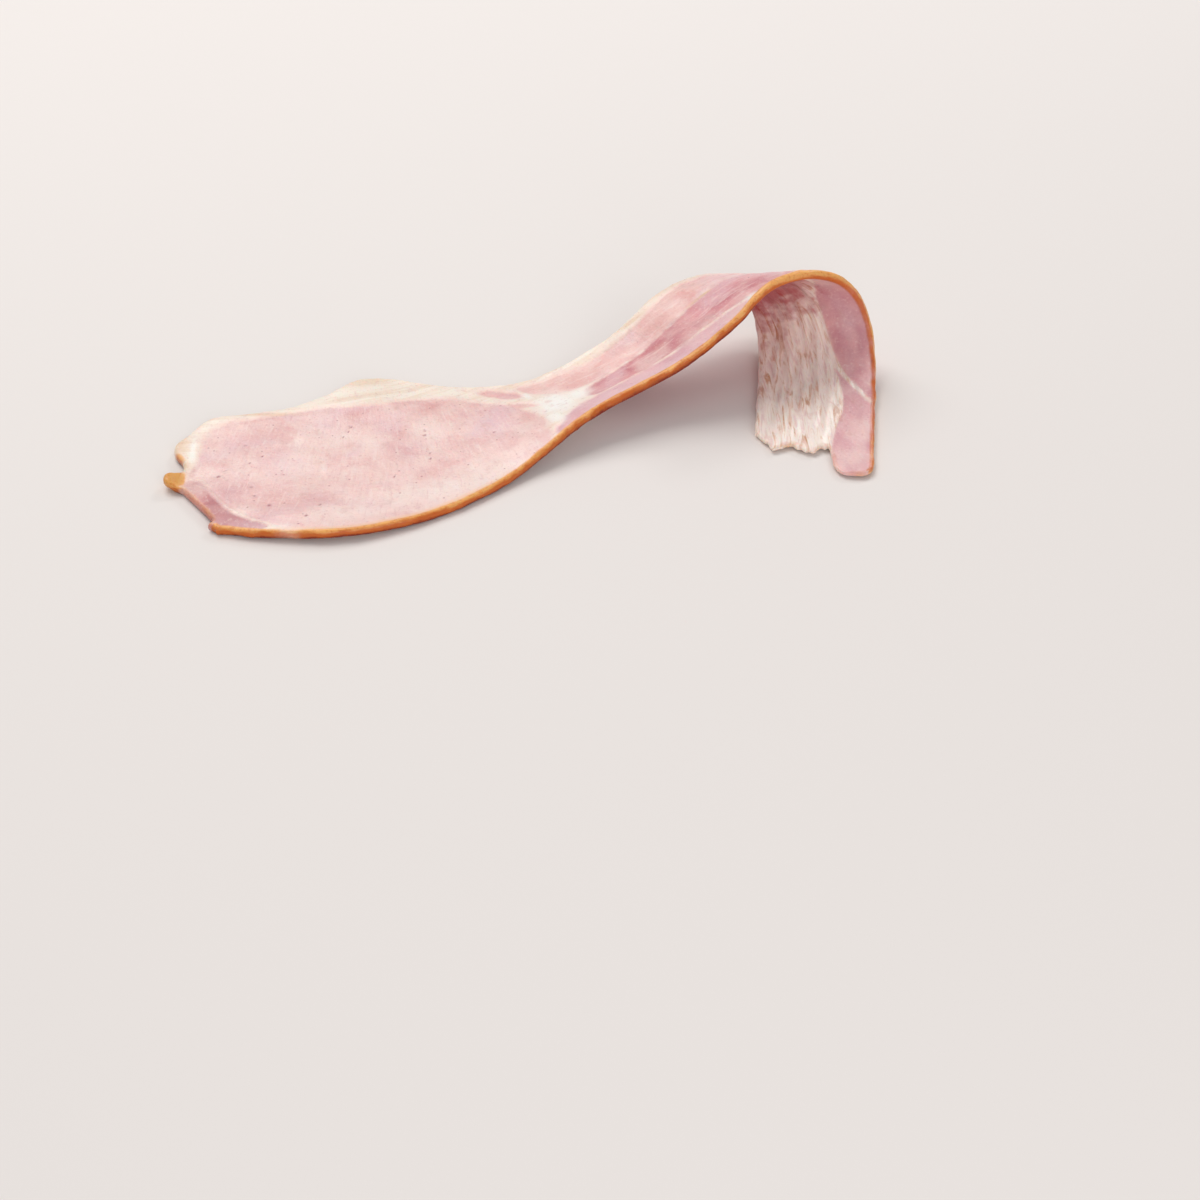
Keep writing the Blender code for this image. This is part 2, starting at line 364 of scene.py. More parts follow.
@dataclass(frozen=True)
class Slice:
    """The flat slice: its outline, its thickness and its rims, in millimetres."""

    length: float = 350.0
    thickness: float = 3.2
    rim_radius: float = 1.25
    widths: tuple[tuple[float, float, float], ...] = (
        (16.0, 33.5, 32.0), (36.0, 37.6, 36.0), (56.0, 40.5, 42.5), (76.0, 37.2, 50.0), (96.0, 31.2, 46.5),
        (116.0, 25.4, 31.5), (136.0, 22.0, 21.0), (160.0, 22.5, 18.0), (182.0, 25.0, 17.0),
        (204.0, 25.5, 19.2), (220.0, 22.5, 19.0), (250.0, 25.5, 16.5), (350.0, 25.5, 15.0),
    )
    loin_heading: float = 4.0
    strip_heading: float = 35.0
    bend: Fade = Fade(20.0, 120.0)
    end_setback: float = 6.0
    cut_from: float = -25.0
    cut_to: float = -9.5
    cut_slant: float = 10.0
    notch: Hump = Hump(-28.0, 3.2, 1.6)
    tongue_from: float = -9.5
    tongue_to: float = -0.5
    tongue_reach: float = 6.0
    tongue_flatness: float = 2.5
    tongue_bluntness: float = 0.6
    fat_bulge: Hump = Hump(14.0, 12.0, 4.0)
    corner_radius: float = 17.0
    corner_depth: float = 12.0
    step_across: Fade = Fade(-13.0, 3.0)
    step_length: float = 14.0
    raggedness: float = 1.4
    rag_spacing: float = 13.0
    shreds: Waves = Waves(2.6, 3.4, 1.0, 61.0)
    smoked_corner: Hump = Hump(0.0, 3.6, 3.0)
    strip_corner: float = 5.0
    strip_edge: float = -12.5
    fat_corner: Hump = Hump(0.0, 9.0, 6.0)
    end_reach: float = 40.0
    step: float = 0.25

    def half_widths(self, u: np.ndarray) -> tuple[np.ndarray, np.ndarray]:
        """How far the slice reaches on its smoked side and on its fat side at distance u along it."""
        along, smoked, fat = np.array(self.widths).T
        return through(u, along, smoked), through(u, along, fat)

    def to_fat(self, u: np.ndarray, v: np.ndarray) -> np.ndarray:
        """The share of the slice's width between its smoked edge and each point."""
        smoked, fat = self.half_widths(u)
        return np.clip((v + smoked) / (smoked + fat), 0.0, 1.0)

    def loin_end(self, v: np.ndarray) -> np.ndarray:
        """How far along the slice its loin end starts: a slanted cut, a tongue of skin and a round corner.

        Args:
            v: Distances across the slice, mm.

        Returns:
            The first u of the slice at each v, mm.
        """
        cut = self.cut_slant * np.clip((self.cut_to - v) / (self.cut_to - self.cut_from), 0.0, 1.0)
        middle, half = 0.5 * (self.tongue_from + self.tongue_to), 0.5 * (self.tongue_to - self.tongue_from)
        tongue = np.clip(1.0 - np.abs((v - middle) / half) ** self.tongue_flatness, 0.0, 1.0)
        tongue = self.tongue_reach * tongue**self.tongue_bluntness
        _, smoked_reach, fat_reach = self.widths[0]
        into_corner = np.clip(1.0 + (v - fat_reach) / self.corner_radius, 0.0, 1.0)
        corner = self.corner_depth * (1.0 - np.sqrt(1.0 - into_corner**2))
        corner = corner + self.smoked_corner.at(v + smoked_reach)
        return self.end_setback + cut + self.notch.at(v) - tongue - self.fat_bulge.at(v) + corner

    def tail_end(self, v: np.ndarray) -> np.ndarray:
        """How far along the slice its tail ends: the smoked strip outlasts the ragged marbled fat.

        Args:
            v: Distances across the slice, mm.

        Returns:
            The last u of the slice at each v, mm.
        """
        past_step = self.step_across.at(v)
        rags = self.raggedness * np.sin(2.0 * math.pi * v / self.rag_spacing)
        rags = rags + self.shreds.at(v.ravel(), 0.0 * v.ravel()).reshape(v.shape)
        _, smoked_reach, fat_reach = self.widths[-1]
        into_smoked = np.clip(1.0 - (v + smoked_reach) / self.strip_corner, 0.0, 1.0)
        into_step = np.clip(1.0 + (v - self.strip_edge) / self.strip_corner, 0.0, 1.0) * (1.0 - past_step)
        corners = self.strip_corner * (2.0 - np.sqrt(1.0 - into_smoked**2) - np.sqrt(1.0 - into_step**2))
        corners = corners + self.fat_corner.at(v - fat_reach)
        return self.length - past_step * (self.step_length + rags) - corners

    def centre_line(self, u: np.ndarray) -> tuple[np.ndarray, np.ndarray, np.ndarray]:
        """The flat slice's centre line.

        Args:
            u: Distances along the slice, mm.

        Returns:
            The line's x, y, mm, and its heading in radians there.
        """
        steps = np.arange(0.0, self.length + 1.0, self.step)
        turn = self.bend.at(steps)
        headings = np.radians(self.loin_heading + (self.strip_heading - self.loin_heading) * turn)
        xs = np.concatenate(([0.0], np.cumsum(np.cos(headings[:-1]) * self.step)))
        ys = np.concatenate(([0.0], np.cumsum(np.sin(headings[:-1]) * self.step)))
        return np.interp(u, steps, xs), np.interp(u, steps, ys), np.interp(u, steps, headings)

    def lay_flat(self, u: np.ndarray, v: np.ndarray) -> tuple[np.ndarray, np.ndarray]:
        """Where the point (u, v) of the slice lies with the slice spread flat on the table."""
        x, y, heading = self.centre_line(u)
        return x - v * np.sin(heading), y + v * np.cos(heading)

    def trim(self, u: np.ndarray, v: np.ndarray) -> np.ndarray:
        """Moves the points near both ends so that the first and last rows follow the slice's end cuts.

        Args:
            u: Distances along the slice before the cuts, mm.
            v: Distances across it, mm.

        Returns:
            The distances along the slice with its ends cut, mm.
        """
        from_loin = self.loin_end(v) * ease(1.0 - u / self.end_reach)
        from_tail = (self.length - self.tail_end(v)) * ease(1.0 - (self.length - u) / self.end_reach)
        return u + from_loin - from_tail


@dataclass(frozen=True)
class Fold:
    """How the slice is folded: the strip climbs, rolls over a slanting crest and comes back as a tail."""

    crest_at: float = 169.0
    crest_heading: float = -30.0
    climb_length: float = 80.0
    climb_angle: float = 62.0
    climb_earliest: float = -160.0
    climb_latest: float = -16.0
    halvings: int = 40
    lead_in: float = 5.0
    roll_length: float = 132.0
    roll_bias: float = -0.1
    fat_side_drop: float = 0.4
    edge_lift: Hump = Hump(-9.0, 78.0, 12.5)
    curl: float = 1.2
    curl_along: Fade = Fade(125.0, -60.0)
    curl_across: Fade = Fade(12.0, 28.0)
    curl_turn_along: float = 0.05
    curl_turn_across: float = 0.03
    reach: float = 525.0
    step: float = 0.25

    def profile(self, climb_start: float) -> tuple[np.ndarray, np.ndarray, np.ndarray]:
        """The folded strip seen along its crest line.

        Args:
            climb_start: Where the strip leaves the table, mm before the roll begins, as a negative number.

        Returns:
            Distance along the strip, and the distance and height that it reaches there, mm.
        """
        s = np.arange(climb_start - self.lead_in, self.reach, self.step)
        climb = math.radians(self.climb_angle)
        turned = np.clip(s / self.roll_length, 0.0, 1.0)
        turned = turned + self.roll_bias * turned * (1.0 - turned)
        angle = climb * ease((s - climb_start) / self.climb_length) - (climb + math.pi) * ease(turned)
        middle = 0.5 * (angle[1:] + angle[:-1])
        out = s[0] + np.concatenate(([0.0], np.cumsum(np.cos(middle) * self.step)))
        up = np.concatenate(([0.0], np.cumsum(np.sin(middle) * self.step)))
        return s, out, up

    def climb_start(self) -> float:
        """Where the climb has to begin for the tail to come back down to the table.

        Returns:
            The place, mm before the roll begins, as a negative number.
        """
        low, high = self.climb_earliest, self.climb_latest
        for _ in range(self.halvings):
            start = 0.5 * (low + high)
            too_high = self.profile(start)[2][-1] > 0.0
            low, high = (start, high) if too_high else (low, start)
        return start

    def middle(self, cut: Slice, u: np.ndarray, v: np.ndarray) -> np.ndarray:
        """Where the middle of the slice's thickness comes to lie.

        Args:
            cut: The flat slice.
            u: Distances along it, mm.
            v: Distances across it, mm.

        Returns:
            One x, y, z row for each point, mm.
        """
        steps, outs, ups = self.profile(self.climb_start())
        crest = math.radians(self.crest_heading)
        x0, y0, _ = cut.centre_line(self.crest_at)
        x, y = cut.lay_flat(u, v)
        along = (x - x0) * math.cos(crest) + (y - y0) * math.sin(crest)
        s = (y - y0) * math.cos(crest) - (x - x0) * math.sin(crest)
        out = np.where(s < steps[0], s, np.interp(s, steps, outs))
        to_fat = cut.to_fat(u, v)
        up = np.interp(s, steps, ups) * (1.0 - self.fat_side_drop * to_fat)
        lift = self.edge_lift.at(s) * (1.0 - to_fat) ** 2
        wave = np.sin(self.curl_turn_along * u + self.curl_turn_across * v) ** 2
        curl = self.curl * wave * self.curl_along.at(u) * self.curl_across.at(np.abs(v))
        x = x0 + along * math.cos(crest) - out * math.sin(crest)
        y = y0 + along * math.sin(crest) + out * math.cos(crest)
        return np.stack((x, y, 0.5 * cut.thickness + up + lift + curl), axis=-1)

    def lay(self, cut: Slice, u: np.ndarray, v: np.ndarray, w: np.ndarray) -> np.ndarray:
        """Folds points that stand above or below the middle of the flat slice's thickness.

        Args:
            cut: The flat slice.
            u: Distances along it, mm.
            v: Distances across it, mm.
            w: Heights over the middle of its thickness, mm.

        Returns:
            One x, y, z row for each point, mm.
        """
        d = self.step
        along = self.middle(cut, u + d, v) - self.middle(cut, u - d, v)
        across = self.middle(cut, u, v + d) - self.middle(cut, u, v - d)
        square = np.cross(along, across)
        square /= np.linalg.norm(square, axis=-1, keepdims=True)
        return self.middle(cut, u, v) + square * w[:, None]


def add_node(
    tree: bpy.types.NodeTree,
    kind: str,
    settings: Mapping[str, object] = MappingProxyType({}),
    inputs: Mapping[int | str, object] = MappingProxyType({}),
) -> bpy.types.Node:
    """Adds a node, sets it up and feeds it.

    Args:
        tree: The node tree that gets it.
        kind: The node's type name.
        settings: The node's own properties.
        inputs: For each input's name or number, the socket that feeds it or its value.

    Returns:
        The new node.
    """
    node = tree.nodes.new(kind)
    for name, value in settings.items():
        setattr(node, name, value)
    for key, value in inputs.items():
        if isinstance(value, bpy.types.NodeSocket):
            tree.links.new(value, node.inputs[key])
        else:
            node.inputs[key].default_value = value
    return node


@dataclass(frozen=True)
class Grain:
    """A random pattern of the cut face, given by the size of its patches in millimetres."""

    name: str
    along: float
    across: float
    deep: float
    detail: float = 4.0
    turn: float = 0.0
    swirl: float = 0.0
    roughness: float = 0.55


# Real muscle fibres and specks of fat are a tenth of a millimetre wide: here they are about 1 mm, to show
GRAINS = (
    Grain("wander", 6.0, 6.0, 6.0),
    Grain("mottle", 15.0, 11.0, 10.0, 3.0, 20.0, 0.6),
    Grain("cloud", 34.0, 22.0, 20.0, 2.0, -15.0),
    Grain("speck", 1.0, 1.0, 1.0, 5.0),
    Grain("crust", 5.5, 4.0, 2.2, 4.0),
    Grain("fat lines", 38.0, 2.6, 3.0, 3.0, 0.0, 0.25),
    Grain("fibre", 1.3, 8.0, 5.0, 4.0, 12.0, 0.4),
    Grain("streak", 22.0, 6.0, 6.0, 4.0, 9.0, 1.2),
    Grain("hair", 15.0, 2.0, 4.0, 3.0, 6.0, 1.0),
)


@dataclass(frozen=True)
class CuredPork:
    """Raw wet-cured pork, sliced cold and smoked on its outer edge.

    A moist cut face: soft pink lean that light sinks into, creamy fat between the muscles, and a rim smoked
    orange-brown, painted lighter on its upper side and darker below as light and shade. The lower face under
    the fold is painted dark red shade. The face shines a little, unevenly, as brine stands on it.
    """

    fat_pale: str = "#F7EADD"
    fat_warm: str = "#EBD2BC"
    fat_white: str = "#FDF8F3"
    blush: str = "#F5D9CF"
    rosy: str = "#F4D8D1"
    lilac: str = "#E7C3C9"
    pale_patch: str = "#FAE6DF"
    lilac_patch: str = "#F0D0D5"
    mauve_patch: str = "#D8A6AC"
    red_patch: str = "#D58A88"
    tan_patch: str = "#E4BE98"
    pale_fibre: str = "#F8E2DC"
    dark_fibre: str = "#C98A92"
    marble_white: str = "#FDEEE4"
    marble_pink: str = "#E59D91"
    marble_tan: str = "#CB936D"
    # Painted shade: the dark red laid on the lower face under the fold
    fold_painted_shade_red: str = "#AB2838"
    pore: str = "#A9636E"
    skin: str = "#D79A4A"
    # The smoked rim: painted light at its top, its smoke colour, painted shade at its foot
    smoke_painted_light: str = "#EDAE64"
    smoke_middle: str = "#C9651F"
    smoke_painted_shade: str = "#82220A"
    peach: str = "#F3C7A6"
    pit_spacing: float = 25.0 / 6.0
    crust_reach: float = 1.5
    sheen_from: float = 0.26
    sheen_to: float = 0.46
    ior: float = 1.38
    glow: float = 0.3
    glow_reach: float = 0.0026
    glow_spread: tuple[float, float, float] = (1.0, 0.35, 0.22)
    brine: float = 0.15
    brine_roughness: float = 0.2

    def dress(self, piece: bpy.types.Object) -> None:
        """Gives the piece this finish.

        Args:
            piece: The slice, with its fields stored on its points.
        """
        # Pink and cream, softly lit through, with small wet glints
        material = bpy.data.materials.new("raw cured pork, cold sliced and smoked")
        material.use_nodes = True
        tree = material.node_tree
        shader = tree.nodes["Principled BSDF"]
        shader.inputs["IOR"].default_value = self.ior
        shader.inputs["Subsurface Weight"].default_value = self.glow
        shader.inputs["Subsurface Radius"].default_value = self.glow_spread
        shader.inputs["Subsurface Scale"].default_value = self.glow_reach
        shader.inputs["Coat Weight"].default_value = self.brine
        shader.inputs["Coat Roughness"].default_value = self.brine_roughness
        look = self.patterns(tree)
        tree.links.new(self.colours(tree, self.shares(tree, look)), shader.inputs["Base Color"])
        self.surface(tree, look, shader)
        piece.data.materials.clear()
        piece.data.materials.append(material)

    def patterns(self, tree: bpy.types.NodeTree) -> Sockets:
        """Brings in the random grains and the slice's own fields.

        Args:
            tree: The material's node tree.

        Returns:
            Each grain's and each field's socket by name.
        """
        lay = add_node(tree, "ShaderNodeAttribute", {"attribute_name": "lay"}).outputs["Vector"]
        look = {}
        for grain in GRAINS:
            scale = (1.0 / grain.along, 1.0 / grain.across, 1.0 / grain.deep)
            turn = (0.0, 0.0, math.radians(grain.turn))
            turned = add_node(tree, "ShaderNodeMapping", {}, {"Vector": lay, "Rotation": turn})
            sized = add_node(tree, "ShaderNodeMapping", {}, {"Vector": turned.outputs[0], "Scale": scale})
            inputs = {"Vector": sized.outputs[0], "Scale": 1.0, "Detail": grain.detail,
                      "Roughness": grain.roughness, "Distortion": grain.swirl}
            look[grain.name] = add_node(tree, "ShaderNodeTexNoise", {}, inputs).outputs[0]
        pits = add_node(tree, "ShaderNodeTexVoronoi", {}, {"Vector": lay, "Scale": 1.0 / self.pit_spacing})
        look["pit"] = pits.outputs["Distance"]
        for name in Rasher.fields_kept():
            look[name] = add_node(tree, "ShaderNodeAttribute", {"attribute_name": name}).outputs["Fac"]

        # Borders wander: each field is pushed to and fro, by its reach, before it is read
        reaches = {muscle.name: muscle.wander for muscle in MUSCLES}
        reaches.update({"lean": 2.4, "browned": 0.35, "marble": 0.8, "inner": 0.7})
        centred = add_node(tree, "ShaderNodeMath", {"operation": "SUBTRACT"}, {0: look["wander"], 1: 0.5})
        for name, reach in reaches.items():
            inputs = {0: centred.outputs[0], 1: 2.0 * reach, 2: look[name]}
            look[name] = add_node(tree, "ShaderNodeMath", {"operation": "MULTIPLY_ADD"}, inputs).outputs[0]
        inputs = {0: look["crust"], 1: self.crust_reach, 2: look["depth"]}
        look["depth"] = add_node(tree, "ShaderNodeMath", {"operation": "MULTIPLY_ADD"}, inputs).outputs[0]
        return look

    @staticmethod
    def shares(tree: bpy.types.NodeTree, look: Sockets) -> Sockets:
        """Turns patterns and fields into the share that each layer of colour takes.

        Args:
            tree: The material's node tree.
            look: The patterns and fields by name.

        Returns:
            The shares' sockets by name.
        """
        # What is read, where its smooth step starts and ends, and how strong it gets
        steps = {
            "fat lines": ("fat lines", 0.42, 0.66, 0.7),
            "blush": ("lean", -3.2, -0.2, 0.8),
            "mottled": ("mottle", 0.34, 0.66, 0.8),
            "rosy": ("cloud", 0.50, 0.66, 0.5),
            "lilac": ("cloud", 0.50, 0.34, 0.5),
            "pale fibre": ("fibre", 0.54, 0.72, 0.40),
            "dark fibre": ("fibre", 0.46, 0.30, 0.18),
            "pale speck": ("speck", 0.52, 0.72, 0.34),
            "dark speck": ("speck", 0.46, 0.30, 0.20),
            "crusty": ("speck", 0.50, 0.34, 0.45),
            "pitted": ("pit", 0.11, 0.06, 0.5),
            "in lean": ("lean", -0.4, 0.8, 1.0),
            "pink streak": ("streak", 0.44, 0.66, 1.0),
            "tan hair": ("hair", 0.48, 0.74, 0.95),
            "red hair": ("hair", 0.48, 0.30, 0.35),
            "upper hair": ("hair", 0.50, 0.72, 0.45),
            "lower hair": ("hair", 0.50, 0.72, 0.40),
            "marbled": ("marble", 0.05, 0.95, 1.0),
            # Painted shade: the dark red share on the lower face under the fold
            "inner": ("inner", 0.05, 0.95, 0.85),
            "pore": ("pore", 0.15, 0.9, 0.85),
            "peach": ("peach", 0.0, 1.0, 0.85),
            # The smoked rim by its height: painted shade towards its lower side, painted light towards its
            # upper side
            "middle": ("depth", -0.70, 0.15, 1.0),
            "light": ("depth", 0.3, 1.1, 1.0),
            "skin": ("skin", 0.0, 1.0, 0.85),
            "browned": ("browned", 0.12, 0.85, 1.0),
        }
        steps.update({tint.value: (tint.value, 0.0, 1.0, 1.0) for tint in Tint})
        steps.update({muscle.name: (muscle.name, -muscle.border, muscle.border, 1.0) for muscle in MUSCLES})
        share = {}
        for name, (source, low, high, strength) in steps.items():
            inputs = {"Value": look[source], "From Min": low, "From Max": high, "To Max": strength}
            smooth = {"interpolation_type": "SMOOTHSTEP"}
            share[name] = add_node(tree, "ShaderNodeMapRange", smooth, inputs).outputs[0]
        # Some layers show within one area only: fibres cross the loin, and run along the strip
        within = {"rosy": "in lean", "lilac": "in lean", "pale fibre": "eye", "dark fibre": "eye",
                  "pitted": "eye", "upper hair": "upper belly", "lower hair": "lower belly"}
        for name, area in within.items():
            inputs = {0: share[name], 1: share[area]}
            share[name] = add_node(tree, "ShaderNodeMath", {"operation": "MULTIPLY"}, inputs).outputs[0]
        return share

    def colours(self, tree: bpy.types.NodeTree, share: Sockets) -> bpy.types.NodeSocket:
        """Lays the colours over one another: fat, each muscle, its tints, the marbling, the painted dark red
        shade under the fold and the smoked rim with its painted light and shade.

        Args:
            tree: The material's node tree.
            share: The share that each layer takes, by name.

        Returns:
            The socket that gives the finished colour.
        """
        # Each mix: the colour below, then the layers over it; a colour is hex or the name of an earlier mix
        mixes = {"pinks of " + muscle.name: (muscle.pale, (("mottled", muscle.deep),)) for muscle in MUSCLES}
        over_fat = [("fat lines", self.fat_warm), ("blush", self.blush)]
        over_fat += [(muscle.name, "pinks of " + muscle.name) for muscle in MUSCLES]
        mixes["plain"] = (self.fat_pale, tuple(over_fat))
        mixes["grained"] = ("plain", (
            (Tint.PALE.value, self.pale_patch), (Tint.LILAC.value, self.lilac_patch),
            (Tint.MAUVE.value, self.mauve_patch), (Tint.RED.value, self.red_patch),
            (Tint.TAN.value, self.tan_patch), (Tint.WHITE.value, self.fat_white),
            ("rosy", self.rosy), ("lilac", self.lilac), ("pale fibre", self.pale_fibre),
            ("dark fibre", self.dark_fibre), ("pale speck", self.pale_fibre), ("dark speck", self.dark_fibre),
            ("pitted", self.pore), ("upper hair", self.pale_fibre), ("lower hair", self.pale_fibre),
        ))
        mixes["marbling"] = (self.marble_white, (
            ("pink streak", self.marble_pink), ("tan hair", self.marble_tan), ("red hair", self.dark_fibre),
            ("pale speck", self.fat_white),
        ))
        # The smoked rim: from painted shade at its foot through its smoke colour to painted light at its top,
        # with skin and crust over it
        mixes["smoke"] = (self.smoke_painted_shade, (
            ("middle", self.smoke_middle), ("light", self.smoke_painted_light), ("skin", self.skin),
            ("crusty", self.smoke_middle),
        ))
        # The lower face under the fold is painted dark red as shade
        mixes["finished"] = ("grained", (
            ("marbled", "marbling"), ("inner", self.fold_painted_shade_red), ("pore", self.pore), ("peach", self.peach),
            ("browned", "smoke"),
        ))
        mixed = {}
        for name, (below, layers) in mixes.items():
            colour = mixed.get(below) or linear(below)
            for layer, upper in layers:
                inputs = {0: share[layer], 6: colour, 7: mixed.get(upper) or linear(upper)}
                colour = add_node(tree, "ShaderNodeMix", {"data_type": "RGBA"}, inputs).outputs[2]
            mixed[name] = colour
        return mixed["finished"]

    def surface(self, tree: bpy.types.NodeTree, look: Sockets, shader: bpy.types.Node) -> None:
        """Gives the face its uneven wet gloss and its finest relief.

        Args:
            tree: The material's node tree.
            look: The patterns and fields by name.
            shader: The shader that takes them.
        """
        inputs = {"Value": look["speck"], "From Min": 0.3, "From Max": 0.7, "To Min": self.sheen_from,
                  "To Max": self.sheen_to}
        gloss = add_node(tree, "ShaderNodeMapRange", {}, inputs)
        tree.links.new(gloss.outputs[0], shader.inputs["Roughness"])
        # Each bump stands on the one before it: the pattern, its height in mm and how strong it shows
        below = {}
        for name, height, strength in (("speck", 0.3, 0.45), ("fat lines", 0.3, 0.25), ("fibre", 0.3, 0.3)):
            inputs = {"Strength": strength, "Distance": height * MM, "Height": look[name]}
            below = {"Normal": add_node(tree, "ShaderNodeBump", {}, {**inputs, **below}).outputs[0]}
        tree.links.new(below["Normal"], shader.inputs["Normal"])


@dataclass(frozen=True)
class Rim:
    """How points lie to the outline: their distance from it, mm, and how browned and peachy it is there."""

    distance: np.ndarray
    browned: np.ndarray
    peach: np.ndarray


@dataclass(frozen=True)
class Smoke:
    """Where the smoke has coloured the slice's rim, in millimetres, and how strongly, and the painted light
    and shade across the rim's height.
    """

    edge: float = 1.6
    along_loin: Fade = Fade(14.0, 3.0)
    paler: Hump = Hump(41.0, 9.0, 0.45)
    along_tail: Fade = Fade(235.0, 30.0)
    tail_share: float = 0.3
    tongue: Fade = Fade(6.0, -2.0)
    tongue_at: float = -5.0
    tongue_half_width: float = 5.5
    skin_along: Fade = Fade(8.0, -2.5)
    skin_across: Hump = Hump(-5.0, 6.5, 1.0)
    skin_share: float = 1.4
    cut_face_to: float = 20.0
    cut_face_below: float = -9.0
    cut_face_share: float = 0.42
    corner_to: float = 5.5
    corner: Hump = Hump(8.0, 6.0, 0.7)
    rags_from: float = 325.0
    rags_share: float = 0.33
    peach_from: Fade = Fade(30.0, 12.0)
    peach_to: Fade = Fade(125.0, -40.0)
    brown_reach: Fade = Fade(2.6, -2.0)
    peach_reach: Fade = Fade(4.2, -3.0)
    # Painted light and shade on the rim: lighter past the fold, and darker by this shift
    painted_light_past_fold: Fade = Fade(190.0, 50.0)
    painted_shade_shift: float = 0.75

    def on_outline(self, cut: Slice, u: np.ndarray, v: np.ndarray) -> tuple[np.ndarray, np.ndarray]:
        """How smoked, and how peachy, the slice's outline is.

        Args:
            cut: The flat slice.
            u: Distances along it of points on its outline, mm.
            v: Distances across it, mm.

        Returns:
            Both shares, from 0 to 1, at each point.
        """
        smoked_reach, _ = cut.half_widths(u)
        on_edge = smoked_reach + v < self.edge
        edge = on_edge * self.along_loin.at(u) * (1.0 - self.paler.at(u))
        edge = edge * (1.0 - self.tail_share * self.along_tail.at(u))
        tongue = self.tongue.at(u) * (np.abs(v - self.tongue_at) < self.tongue_half_width)
        cut_face = self.cut_face_share * (u < self.cut_face_to) * (v < self.cut_face_below) * ~on_edge
        corner = self.corner.at(v) * (u < self.corner_to)
        rags = self.rags_share * (u > self.rags_from) * ~on_edge
        browned = np.clip(edge + tongue + cut_face + corner + rags, 0.0, 1.0)
        return browned, edge * self.peach_from.at(u) * self.peach_to.at(u)

    def fields(
        self, cut: Slice, u: np.ndarray, v: np.ndarray, w: np.ndarray, rim: Rim
    ) -> dict[str, np.ndarray]:
        """Spreads the smoke from the outline over the rim.

        Args:
            cut: The flat slice.
            u: Each point's distance along it, mm.
            v: Its distance across it, mm.
            w: Its height over the middle of the slice's thickness, mm.
            rim: How the points lie to the outline.

        Returns:
            The fields of skin, brown and peach, and the depth, by which the rim is painted lighter on its
            upper side, darker on its lower side and lighter all through past the fold.
        """
        skin = self.skin_along.at(u) * self.skin_across.at(v)
        return {
            "skin": skin,
            "browned": np.maximum(rim.browned * self.brown_reach.at(rim.distance), self.skin_share * skin),
            "peach": rim.peach * self.peach_reach.at(rim.distance),
            # Painted light and shade: the rim lighter towards its upper side and past the fold, darker
            # towards its lower side
            "depth": w / (0.5 * cut.thickness) - self.painted_shade_shift + self.painted_light_past_fold.at(u),
        }


@dataclass(frozen=True)
class Tail:
    """Where the slice is marbled, and where its folded lower face is painted dark red as shade under the
    fold, in millimetres.
    """

    marbled_along: Fade = Fade(216.0, 46.0)
    marbled_across: Fade = Fade(-26.5, 6.0)
    marbled_unevenly: Waves = Waves(9.0, 16.0, 8.0, 11.0)
    into_lean: Fade = Fade(0.7, -1.4)
    # Where the lower face is painted dark red as shade under the fold
    inner_along: Fade = Fade(150.0, 20.0)
    inner_across: Fade = Fade(-21.0, 7.0)
    inner_end: Fade = Fade(280.0, -44.0)
    inner_slant: float = 0.5
    inner_unevenly: Waves = Waves(7.0, 14.0, 5.0, 71.0)

    def marbling(self, u: np.ndarray, v: np.ndarray, lean: np.ndarray) -> np.ndarray:
        """How marbled the slice is: all over its tail, but for the lean strips along the smoked edge.

        Args:
            u: Distances along the slice, mm.
            v: Distances across it, mm.
            lean: How far each point is inside those strips, mm.

        Returns:
            The share of marbling at each point.
        """
        marbled = self.marbled_along.at(u + self.marbled_unevenly.at(u, v))
        return marbled * self.into_lean.at(lean) * self.marbled_across.at(v)

    def inner(self, u: np.ndarray, v: np.ndarray, side: np.ndarray) -> np.ndarray:
        """How far each point is in the painted shade, dark red, under the fold on the slice's lower face.

        Args:
            u: Distances along the slice, mm.
            v: Distances across it, mm.
            side: 1 on the upper face, -1 on the lower.

        Returns:
            The share of painted dark red shade at each point.
        """
        end = self.inner_end.at(u - self.inner_slant * v - self.inner_unevenly.at(u, v))
        return (side == Side.LOWER.value) * self.inner_along.at(u) * end * self.inner_across.at(v)


